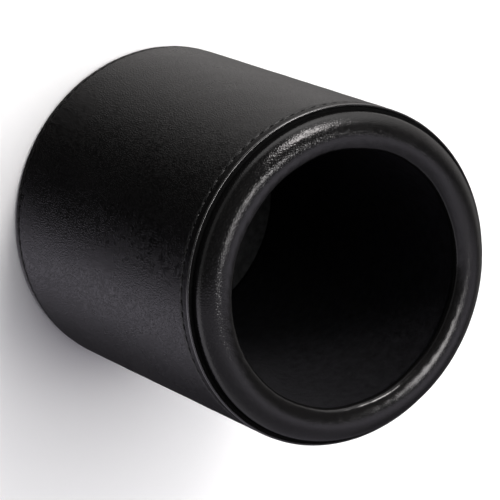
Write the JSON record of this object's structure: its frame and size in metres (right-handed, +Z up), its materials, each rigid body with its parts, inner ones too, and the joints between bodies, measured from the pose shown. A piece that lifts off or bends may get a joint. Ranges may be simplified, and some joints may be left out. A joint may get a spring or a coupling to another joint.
{
  "type": "leather dice cup",
  "caption": "Round leather dice cup with a stitched wrap, a padded rolled lip and a felt-lined inside, standing upright with its mouth up",
  "frame": {"origin": "centre of the underside, in the plane the cup stands on", "axes": "+Z up the cup's axis and out of the mouth; +Y towards the joint in the wrap; +X to the right when the joint is at the back"},
  "size_m": [0.094, 0.094, 0.103],
  "materials": {
    "wrap_leather": "satin black, fine grain",
    "lip_leather": "satin black, fine grain, slightly glossier on the crest",
    "thread": "black waxed thread",
    "felt": "matt black felt",
    "board": "wound grey-brown board, hidden",
    "backing": "black backing board",
    "foam": "soft foam, hidden"
  },
  "bodies": {
    "root": {"base_leather": "wrap_leather", "base_board": "board", "core_tube": "board", "wrap_backing": "backing", "wrap_leather": "wrap_leather", "hem_stitching": "thread", "base_stitching": "thread", "seam_stitching": "thread", "lip_foam": "foam", "lip_leather": "lip_leather", "lining_card": "board", "lining_wall": "felt", "lining_floor": "felt"}
  },
  "joints": []
}
